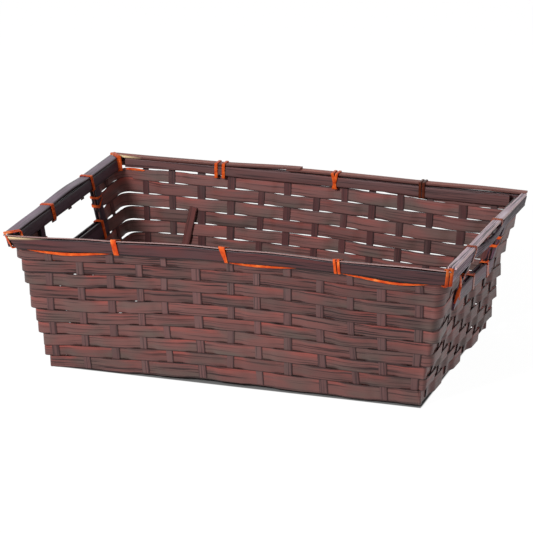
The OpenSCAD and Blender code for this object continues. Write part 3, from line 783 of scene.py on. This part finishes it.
bendCut = b["strip"] + 2 * b["clear"]
half = b["stakeWidth"] / 2
tuckedTop = stakeTop - 1.4  # the stakes end a little short of the caps
footPlaces = (-60, -30, 0, 30, 60)
stakeSpread = (0.9, 1.15)  # how narrow and how wide the cross stakes were split
for i in range(b["crossStakes"]):
    side = upSide(Vector((midY(footZ), footZ)), Vector((midY(tuckedTop), tuckedTop)), bendCut)
    line = mirrored(side) + [Vector((y, footZ)) for y in footPlaces] + side
    strip = edged(line, lambda p, q: handmade(crossX(i) + q, p.x, p.y, rimShare(p.y), 0),
                  half * dice.uniform(*stakeSpread))
    lay("crossStake%02d" % (i + 1), [strip], stakeLook, wood["stake"], "cross_stake_%02d" % (i + 1))


def stripZ(i, j):
    return footZ + (-footOff if (i + j) % 2 == 0 else footOff)


def footWave(j):
    line = []
    for i in range(b["crossStakes"]):
        a = Vector((crossX(i) + flatHalf, stripZ(i, j)))
        c = Vector((crossX(i + 1) - flatHalf, stripZ(i + 1, j)))
        line += [Vector((crossX(i) - flatHalf, a.y)), a]
        if i < b["crossStakes"] - 1:
            line += [Vector((blend(a.x, c.x, t), blend(a.y, c.y, eased(t)))) for t in (0.25, 0.5, 0.75)]
    return line


for n in range(b["longStakes"]):
    j = n * b["fillersPerStake"] + b["crossStakes"]
    high = barTop - 3 * b["clear"] if b["cutFrom"] <= n <= b["cutTo"] else tuckedTop
    z = stripZ(0, j)
    side = upSide(Vector((midX(z), z)), Vector((midX(high), high)), bendCut)
    line = mirrored(side) + footWave(j) + side
    strip = edged(line, lambda p, q: handmade(p.x, longY(n) - q, p.y, rimShare(p.y)), half)
    lay("longStake%d" % (n + 1), [strip], stakeLook, wood["stake"], "long_stake_%d" % (n + 1))

fillers = []
for j in range(-stripCount, stripCount + 1):
    if (j + stripCount - 1) % b["fillersPerStake"]:
        line = footWave(j + stripCount + 1 + b["crossStakes"])
        fillers.append(edged(line, lambda p, q: handmade(p.x, j * stripPitch - q, p.y), b["fillerWidth"] / 2))
lay("footFillers", fillers, dict(stakeLook, width=b["fillerWidth"]), wood["weaver"], "foot_fillers")
print("stakes and foot laid")

# Rim slats and caps
slatLook = dict(flatLook, width=b["slatHeight"], thickness=b["slat"], edge=0.28, sides=16)
capLook = dict(flatLook, width=b["capWidth"], thickness=b["cap"], sides=16)
rimSteps = 36
slatMidOff = (slatIn + slatOut) / 2
capZ = (capLow + capTop) / 2
capHalf = b["capWidth"] / 2
capOutX, capOutY = capMidX + capHalf, capMidY + capHalf
longEnd = capOutX - 3.4  # where the corner ties' cut reaches the outer slats
tieX, midTieX, tieY = 3.5 * crossPitch, crossPitch / 2, 1.5 * longPitch


def span(a, c, steps=rimSteps):
    return [a + (c - a) * i / steps for i in range(steps + 1)]


def rimSlat(wall, reach, off, sink=0.0, apart=(0, 0), **more):
    # apart: how far the slat stands out and hangs down between the ties of a short side
    def place(at, q):
        loose = math.cos(math.pi / 2 * min(abs(at) / tieY, 1)) ** 0.7
        low = slatLow + (between(backTrim, at) if wall == 2 else 0)
        z = (slatTop - apart[1] * loose if q > 0 else low) - sink
        return handmade(*onWall(wall, at, off + apart[0] * loose, z), z, 1)
    way = 1 if wall in (0, 1) else -1
    return edged(span(-reach * way, reach * way), place, 1, **more)


slant = {"cut": 7, "run": 14}  # the front slat is cut aslant at its left end


def slantedEnd(p):
    share = eased(1 - (p.x + longEnd) / slant["run"]) * max(slatTop - p.z, 0) / b["slatHeight"]
    return Vector((p.x + slant["cut"] * share, p.y, p.z))


# Along a strip from 0 to 1: above zero its wood shows bare; below zero it is drawn darker, as painted shade
# on the right slat from its front tie back and at both slats' far ends, and the front slat darker towards its
# right
slatBareAndShade = {
    0: {"raw": lambda s: max(0, 1 - s * 9) - ramp(s, 0.42, 1 / 3) - 3 * ramp(s, 35 / 36, 1 / 36)},
    1: {"raw": lambda s: -0.85 * ramp(s, 0.27, 1 / 12) - ramp(s, 0.94, 1 / 30)},
}
# the right outer slat takes the lilac look, with painted sheen and painted shade
outerWood = ("slat", "rightSlat", "slat", "slat")
innerWood = ("slat", "slat", "backSlat", "frame")
outerApart = {1: (3, 2.4)}
innerApart = {1: (0, 4)}
innerSink = {0: 1.2}
for wall, wallName in enumerate(("front", "right", "back", "left")):
    long = wall in (0, 2)
    outReach = longEnd if long else midY(slatLow) + slatIn - b["clear"]
    inReach = (midX(slatLow) if long else midY(slatLow)) - b["coreCorner"]
    outer = rimSlat(wall, outReach, slatMidOff, apart=outerApart.get(wall, (0, 0)), **slatBareAndShade.get(wall, {}))
    lay("rimOuter" + wallName.title(), [outer], slatLook, wood[outerWood[wall]],
        "rim_outer_" + wallName, slantedEnd if wall == 0 else None)
    inner = rimSlat(wall, inReach, -slatMidOff, innerSink.get(wall, 0), innerApart.get(wall, (0, 0)))
    lay("rimInner" + wallName.title(), [inner], slatLook, wood[innerWood[wall]],
        "rim_inner_" + wallName)

capEnd = capOutX - 1.8
shortEnd = capMidY - capHalf - b["clear"]
frontCap = {"width": 6, "thickness": 1.0, "tilt": 1.6, "rise": 0.15}  # slim and leaning inwards
backCap = {"width": 9.2, "ends": (-24, -11), "rise": 1.7}  # in two lengths, one lifted at the joint
rightCap = {"width": 7.4, "end": 5.2}  # the right one narrows towards the back
capBow = {"right": 0.4, "left": 1.9}  # the short caps bow up between their ties


def rimCap(wall, start, end, lift, width, tilt=0.0, **more):
    def place(i, q):
        s = i / rimSteps
        out = (capOutY if wall in (0, 2) else capOutX) - (width(s) if q > 0 else 0)
        return handmade(*onSide(wall, blend(start, end, s), out), capZ + lift(s) - (tilt if q > 0 else 0), 1)
    return edged(range(rimSteps + 1), place, 1, **more)


def bareFrontCap(s):  # bare wood at its left end, then a darker length
    return max(0, 0.9 - s * 8) - 0.9 * ramp(s, 0.3, 1 / 6) * ramp(s, 10.6 / 14, -1 / 14)


lay("rimCapFront", [rimCap(0, -capEnd, capEnd, lambda s: frontCap["rise"], lambda s: frontCap["width"],
                           frontCap["tilt"], raw=bareFrontCap)],
    dict(capLook, width=frontCap["width"], thickness=frontCap["thickness"]), wood["frontCap"],
    "rim_cap_front")
backCaps = [rimCap(2, capEnd, backCap["ends"][0], lambda s: 0, lambda s: backCap["width"]),
            rimCap(2, backCap["ends"][1], -capEnd, lambda s: backCap["rise"] * eased(1 - s * 2.2),
                   lambda s: backCap["width"], raw=lambda s: 1.9 * max(0, s * 7 - 5.9))]
lay("rimCapBack", backCaps, capLook, wood["backCap"], "rim_cap_back")
for wall, wallName in ((1, "right"), (3, "left")):
    def bowed(s):
        return capBow[wallName] * math.sin(math.pi * held((s - 0.31) / 0.38)) ** 1.3

    def shortWidth(s):
        return blend(rightCap["width"], rightCap["end"], ramp(s, 0.6, 0.4)) if wall == 1 else b["capWidth"]

    way = 1 if wall == 1 else -1
    lay("rimCap" + wallName.title(), [rimCap(wall, -shortEnd * way, shortEnd * way, bowed, shortWidth)],
        dict(capLook, width=shortWidth(0)), wood[wallName + "Cap"], "rim_cap_" + wallName)
print("rim laid")

# Frames of the hand openings
frameLook = dict(flatLook, width=2 * flatHalf, thickness=b["bar"], sides=14)
frameMid = (slatIn + frameOut) / 2
barMid = (barLow + barTop) / 2


def frameStrip(side, y, z, off):
    return handmade(side * (midX(z) + off), y, z, rimShare(z))


for side, sideName in ((1, "right"), (-1, "left")):
    uprights, bars = [], []
    for off in (frameMid, -frameMid):
        for y in (uprightY, -uprightY):
            uprights.append(edged(span(barTop + b["clear"], uprightTop, 8),
                                  lambda z, q: frameStrip(side, y - side * q, z, off), flatHalf))
        bars.append(edged(span(-barEnd * side, barEnd * side, 16),
                          lambda y, q: frameStrip(side, y, barMid + q, off), b["barHeight"] / 2))
    # the right frames take the lighter sideSlat look as painted sheen, the left ones the dark frame look
    frameWood = wood["frame" if side < 0 else "sideSlat"]
    for part, strips, width in (("Uprights", uprights, frameLook["width"]), ("Bars", bars, b["barHeight"])):
        lay(sideName + part, strips, dict(frameLook, width=width), frameWood,
            sideName + "_handle_" + part.lower())

stubs = []
stubSpread = (0.6, 1.3)  # how raggedly the cut stakes end in the rim
stubLower = {1: 0, -1: 1.6}
for side in (1, -1):
    for n in range(b["cutFrom"], b["cutTo"] + 1):
        line = span(slatLow - b["stubShow"] * dice.uniform(*stubSpread) - stubLower[side], stakeTop, 4)
        stubs.append(edged(line, lambda z, q: handmade(side * midX(z), longY(n) - side * q, z, 1), half))
lay("rimStubs", stubs, stakeLook, wood["stake"], "rim_stubs")
print("hand openings framed")

# Ties of cane
tieLook = {"width": 5.0, "thickness": 0.7, "edge": 0.75, "sides": 10, "unevenness": 0.05}
turnLook = dict(tieLook, width=2.4)
caneRoom = b["clear"] + b["cane"] / 2
turn = turnLook["width"]
turnGap = 0.8
pairStep = (turn + turnGap) / 2
cornerBits = 4
squareCorners = ((-1, -1), (1, -1), (1, 1), (-1, 1))


def bind(name, strips, look, replaced):
    lay(name, strips, look, cane, replaced)


def roundedLoop(outline):  # a loop of cane round a convex outline, counter-clockwise
    loop = []
    for i, corner in enumerate(outline):
        p = Vector(corner)
        a = p - Vector(outline[i - 1])
        c = Vector(outline[(i + 1) % len(outline)]) - p
        for j in range(cornerBits + 1):
            angle = math.atan2(-a.x, a.y) + abs(a.angle_signed(c)) * j / cornerBits
            loop.append(p + Vector((math.cos(angle), math.sin(angle))) * caneRoom)
    return loop


def loopStrip(outline, place, width, tone, lean=0.0, pinch=lambda up: 1):
    # place(p, q) puts the point p of the outline at q across the tie
    loop = roundedLoop(outline)
    lowest, highest = min(p.y for p in loop), max(p.y for p in loop)

    def across(p, side):
        up = (p.y - lowest) / (highest - lowest)
        return place(p, lean * (up - 0.5) + side * width * pinch(up))
    return edged(loop, across, 0.5, ring=True, tone=tone)


def rimOutline(wall, midLow, midCap):
    out = midCap + capHalf
    outline = [(midLow - slatOut, slatLow), (midLow + slatOut, slatLow), (out, capLow)]
    if wall == 0:
        return outline + [(out, capTop + frontCap["rise"]), (midCap - slatOut, slatTop - 0.6)]
    if wall == 1:
        return outline + [(out, capTop), (out - rightCap["width"], capTop), (midCap - slatOut, slatTop - 0.4)]
    return outline + [(out, capTop), (midCap - capHalf, capTop)]


def rimTie(wall, at, width, tone, **more):
    way = 1 if wall in (1, 2) else -1
    if wall in (0, 2):
        return loopStrip(rimOutline(wall, midY(slatLow), capMidY),
                         lambda p, q: handmade(at - way * q, way * p.x, p.y, 1), width, tone, **more)
    return loopStrip(rimOutline(wall, midX(slatLow), capMidX),
                     lambda p, q: handmade(way * p.x, at + way * q, p.y, 1), width, tone, **more)


wideTies = [
    rimTie(0, -tieX - 2, 5, 0.6, lean=-1.5),
    rimTie(0, -midTieX + 17, 5, 0.45, lean=-3, pinch=lambda up: 0.55 + 0.6 * up),
]
bind("longSideWideTies", wideTies, tieLook, "long_side_ties")
# Single turns: wall, place, width to the turn's, tone, lean
turns = ((0, tieX + 8 - pairStep, 1, 0.7, 0), (0, tieX + 8 + pairStep, 1, 0.5, 0),
         (2, -tieX + 3 - pairStep, 1.3, 0.8, 0), (2, -tieX + 7 + pairStep, 1.3, 0.9, 0),
         (2, midTieX + 9, 1.15, 0.8, 3.2), (2, midTieX + 10, 1.15, 0.6, -3.2),
         (2, tieX + 11 - pairStep, 1, 0.05, 0), (2, tieX + 11 + pairStep, 1, 0.02, 0))
longTies = [rimTie(wall, at, turn * wide, tone, lean=lean) for wall, at, wide, tone, lean in turns]
bind("longSidePairs", longTies, turnLook, "long_side_ties")
shortTieLook = dict(tieLook, width=4.2)
shortTies = [rimTie(wall, at, shortTieLook["width"], tone) for wall, at, tone in
             ((3, tieY + 4, 0.4), (3, -tieY + 9, 0.5), (1, tieY - 15, 0.12), (1, -tieY - 13, 0.13))]
bind("shortSideTies", shortTies, shortTieLook, "short_side_ties")


def cornerDepth(x, y):
    return max(capOutX - x, capOutY - y) * math.sqrt(2)


tieHalf = turn + turnGap / 2
innerLow = cornerDepth(midX(slatLow) - slatOut, midY(slatLow) - slatOut) + tieHalf
innerTop = cornerDepth(capMidX - capHalf, capMidY - capHalf) + tieHalf
cutDepth = b["cornerCut"] / math.sqrt(2)


def cornerTie(way, sx, sy, at, step, tuck, over, wide, **more):  # over: how far in it comes back over the cap
    shift = at + way * pairStep * step
    outline = [(-innerLow, slatLow), (-cutDepth - tuck, slatLow), (-cutDepth, capTop), (-over, capTop)]
    r = math.sqrt(0.5)

    def place(p, q):
        x = capOutX + (p.x + q + shift) * r
        y = capOutY + (p.x - q - shift) * r
        return handmade(sx * x, sy * y, p.y, 1)
    strip = loopStrip(outline, place, turn * wide, **more)
    if sx * sy > 0:
        strip["low"], strip["high"] = strip["high"], strip["low"]
    return strip


# The turns at the back left, front left and front right corners; the last ones only catch the rim's edge
cornerSets = (
    dict(sx=-1, sy=1, at=2.2, step=0.8, tuck=0, over=innerTop, wide=1.1, tone=0.7),
    dict(sx=-1, sy=-1, at=0, step=1.2, tuck=5, over=innerTop, wide=1.1, tone=0.35),
    dict(sx=1, sy=-1, at=-1.5, step=1.2, tuck=1, over=cutDepth + 1.8, wide=1.3, tone=0.15, lean=1.2),
)
cornerTies = [cornerTie(way, **at) for at in cornerSets for way in (-1, 1)]
bind("cornerTies", cornerTies, turnLook, "corner_ties")


def barTie(side, y, width, tone, lean=0.0):
    corners = ((barLow, -frameOut), (barLow, frameOut), (barTop, frameOut), (barTop, -frameOut))
    outline = [(midX(z) + off, z) for z, off in corners]
    return loopStrip(outline, lambda p, q: handmade(side * p.x, y + side * q, p.y, rimShare(p.y)),
                     width, tone, lean)


def uprightTurn(side, end, near, far, tone):  # near and far: heights at the slit and at the opening's edge
    loop = roundedLoop([(sx * frameOut, sy * flatHalf) for sx, sy in squareCorners])

    def place(p, q):
        thin = 0.25 if p.y > flatHalf - 0.5 else 1  # it slips through the slit between two rows
        z = rowLow(1) - b["rowGap"] / 2 + blend(near, far, (flatHalf - p.y) / (2 * flatHalf)) + q * thin
        return handmade(side * (midX(z) + p.x), end * (uprightY + p.y), z, rimShare(z))
    strip = edged(loop, place, turn / 2, ring=True, tone=tone)
    if side * end < 0:
        strip["low"], strip["high"] = strip["high"], strip["low"]
    return strip


barTieY = uprightY - flatHalf - turn
barTies = [barTie(1, -2, 4.6, 0.13, -9), barTie(1, barTieY - 6, 5.2, 0.5, -12),
           barTie(-1, -barTieY, 2 * turn, 0.5), barTie(-1, -longPitch / 2, 2 * turn, 0.3),
           barTie(-1, barTieY, 2 * turn, 0.4)]
bind("barTies", barTies, dict(tieLook, width=2 * turn), "handle_ties")
uprightTurns = [uprightTurn(side, end, near, far, tone) for side in (1, -1) for end in (-1, 1)
                for near, far, tone in ((1.2, 1, 0.5), (-1.2, -6.5, 0.6))]
bind("uprightTurns", uprightTurns, turnLook, "handle_ties")


def leg(way, thick, tone):  # a loose end of cane outside the right wall, way: its places, then its heights
    def place(s, q):
        y, z = (between([(i / 2, at) for i, at in enumerate(line)], s) for line in way)
        off = midX(z) + frameOut + caneRoom + 0.2
        return handmade(off + thick * (q + 0.5), y + thick * q / 2, z, rimShare(z))
    return edged(span(0, 1, 10), place, 0.5, tone=tone, taper=lambda s: 0.55 + 0.45 * math.sin(math.pi * s))


legs = [leg(((-91, -70, -48), (115, 95.5, 76)), 2.0, 0.5), leg(((-69, -73, -79.5), (97, 91, 84.5)), 2.6, 0.6)]
bind("looseEnds", legs, dict(turnLook, thickness=1.2), "handle_ties")

# Loose strands under the rim
strandLook = {"width": 2.4, "thickness": 0.8, "edge": 0.8, "sides": 10, "unevenness": 0.03}


def strand(wall, start, end, tone, sag, thick=1.0, out=1, endRise=0.0):
    def place(s, q):
        z = slatLow - b["caneRoom"] - 0.2 - sag * math.sin(math.pi * s) + endRise * s + q * thick
        return handmade(*onWall(wall, blend(start, end, s), (slatIn + 0.5) * out, z), z, 1)
    return edged(span(0, 1, 20), place, strandLook["width"] / 2, tone=tone,
                 taper=lambda s: 0.25 + 0.75 * max(math.sin(math.pi * s), 0) ** 0.5)


farX = midX(rowsTop) - b["rimCorner"]
lacing = [
    strand(2, -farX + 12, -farX - 11, 0.8, -0.6, out=-1),
    strand(0, -farX - 2, -tieX - 8, 0.75, 2.2, 1.15),
    strand(0, -midTieX + 19, tieX - 26, 0.85, 1.1, 1.6, endRise=0.8),
    strand(0, tieX + 10, farX + 2, 0.3, 2.6, 0.9),
]
bind("rimLacing", lacing, strandLook, "rim_lacing")
print("ties and lacing wound")

# Braces of the foot
braceLook = dict(flatLook, width=b["braceWidth"], thickness=b["brace"], unevenness=0.03)
# Where each crosses the front wall's top and foot and the back wall's foot and top, from -1 left to 1 right
braceShares = {"left": (-0.97, -0.955, -0.81, -0.69), "right": (0.67, 0.7, 0.89, 0.97)}
bracePlaces = (-60, -20, 20, 60)
braceTop = rowLow(b["openRows"]) + b["braceTuck"]
braceZ = footTop + b["clear"] + b["brace"] / 2
braceOff = halfWeave + b["clear"] + b["brace"] / 2
for sideName, (frontTop, frontFoot, backFoot, backTop) in braceShares.items():
    corner = Vector((midY(braceZ) - braceOff, braceZ))
    side = upSide(corner, Vector((midY(braceTop) - braceOff, braceTop)), b["brace"])
    line = mirrored(side) + [Vector((y, braceZ)) for y in bracePlaces] + side
    places = [blend(frontTop, frontFoot, i / wallSteps) for i in range(wallSteps)]
    places += [frontFoot] * (bendSteps + 1)
    places += [blend(frontFoot, backFoot, (y + side[0].x) / (2 * corner.x)) for y in bracePlaces]
    places += [backFoot] * (bendSteps + 1)
    places += [blend(backFoot, backTop, (i + 1) / wallSteps) for i in range(wallSteps)]
    reach = midX(0) - cornerRadius(0)
    strip = edged(list(zip(line, places)), lambda at, q: handmade(reach * at[1] + q, at[0].x, at[0].y),
                  b["braceWidth"] / 2)
    lay(sideName + "Brace", [strip], braceLook, wood["brace"], "brace_" + sideName)
print("braces laid")

# Floor, light and camera
studio = {
    "floorDrop": 0.0001, "floorSize": 6.0, "floorWhite": 0.8, "floorShare": 0.1, "floorGlow": 1.08,
    # a painted shadow under the foot: how dark, over what fade, and how far in from the foot's edges
    "shadowUnderFoot": 0.22, "footFade": 0.0014, "footInset": (4, 1.2),  # the floor is dark where the foot stands
    "world": 0.28, "keyPower": 29, "keyPlace": (-0.5, -1.48, 0.98), "keySize": 0.3,
    "fillPower": 3, "fillPlace": (1.3, -1.4, 1.2), "fillSize": 1.4, "aim": (0, 0, 0.05),
}
white = (1, 1, 1, 1)


def sheetFloor():
    shown = [o for o in bpy.data.objects if o.type == "MESH" and "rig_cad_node" not in o]
    z = min(v.co.z for o in shown for v in o.data.vertices) - studio["floorDrop"]
    reach = studio["floorSize"] / 2
    mesh = bpy.data.meshes.new("paleFloor")
    mesh.from_pydata([(sx * reach, sy * reach, z) for sx, sy in squareCorners], [], [(0, 1, 2, 3)])
    floor = placed("paleFloor", mesh)
    material, w = startMaterial("paleFloor")
    glow = w.node("ShaderNodeEmission", {"Color": white, "Strength": studio["floorGlow"]})
    spot = w.split(w.node("ShaderNodeTexCoord", out="Object"))
    besideX, besideY = ((at.size() - (size / 2 - inset) * mm) / studio["footFade"] for at, size, inset in
                        zip((spot, spot.other("Y")), (b["footLength"], b["footWidth"]), studio["footInset"]))
    beside = w.math("MAXIMUM", besideX, besideY).kept()
    # painted shadow: under the foot the floor's paint is darker and it does not glow
    shade = studio["shadowUnderFoot"] + beside * (studio["floorWhite"] - studio["shadowUnderFoot"])
    paint = w.node("ShaderNodeBsdfDiffuse", {"Color": w.grey(shade)})
    glowing = w.seen() * beside * (1 - studio["floorShare"])
    mix = w.node("ShaderNodeMixShader", {0: glowing, 1: paint, 2: glow})
    w.node("ShaderNodeOutputMaterial", {"Surface": mix})
    mesh.materials.append(material)


def softLamp(name, place, size, power):
    light = bpy.data.lights.new(name, "AREA")
    light.shape, light.size, light.energy = "SQUARE", size, power
    lamp = placed(name, light)
    lamp.location = place
    aim = Vector(studio["aim"]) - lamp.location
    lamp.rotation_euler = aim.to_track_quat("-Z", "Y").to_euler()


sheetFloor()
softLamp("keyLamp", studio["keyPlace"], studio["keySize"], studio["keyPower"])
softLamp("fillLamp", studio["fillPlace"], studio["fillSize"], studio["fillPower"])

world = bpy.data.worlds.new("studio")
world.use_nodes = True
world.node_tree.nodes.clear()
w = Wire(world.node_tree)
glow = studio["world"] + w.seen() * (1 - studio["world"])
sky = w.node("ShaderNodeBackground", {"Color": white, "Strength": glow})
w.node("ShaderNodeOutputWorld", {"Surface": sky})
bpy.context.scene.world = world

# The studio camera: angles in degrees, places in metres, focal length and frame in picture points
view = {"turn": 20.657, "height": 18.398, "roll": -1.443, "away": 1.85455, "across": -0.005728,
        "up": 0.071061, "focal": 2079.745, "frame": 533}
turnAngle, tilt, roll = (math.radians(view[name]) for name in ("turn", "height", "roll"))
back = Vector((math.sin(turnAngle) * math.cos(tilt), -math.cos(turnAngle) * math.cos(tilt), math.sin(tilt)))
level = Vector((math.cos(turnAngle), math.sin(turnAngle), 0))
upright = back.cross(level)
right = level * math.cos(roll) + upright * math.sin(roll)
up = upright * math.cos(roll) - level * math.sin(roll)
place = back * view["away"] + right * view["across"] + up * view["up"]
lens = bpy.data.cameras.new("studioCamera")
lens.lens = view["focal"] / view["frame"] * lens.sensor_width
camera = placed("studioCamera", lens)
camera.matrix_world = Matrix.Translation(place) @ Matrix((right, up, back)).transposed().to_4x4()
bpy.context.scene.camera = camera
bpy.context.scene.view_settings.view_transform = "Standard"
print("studio set")
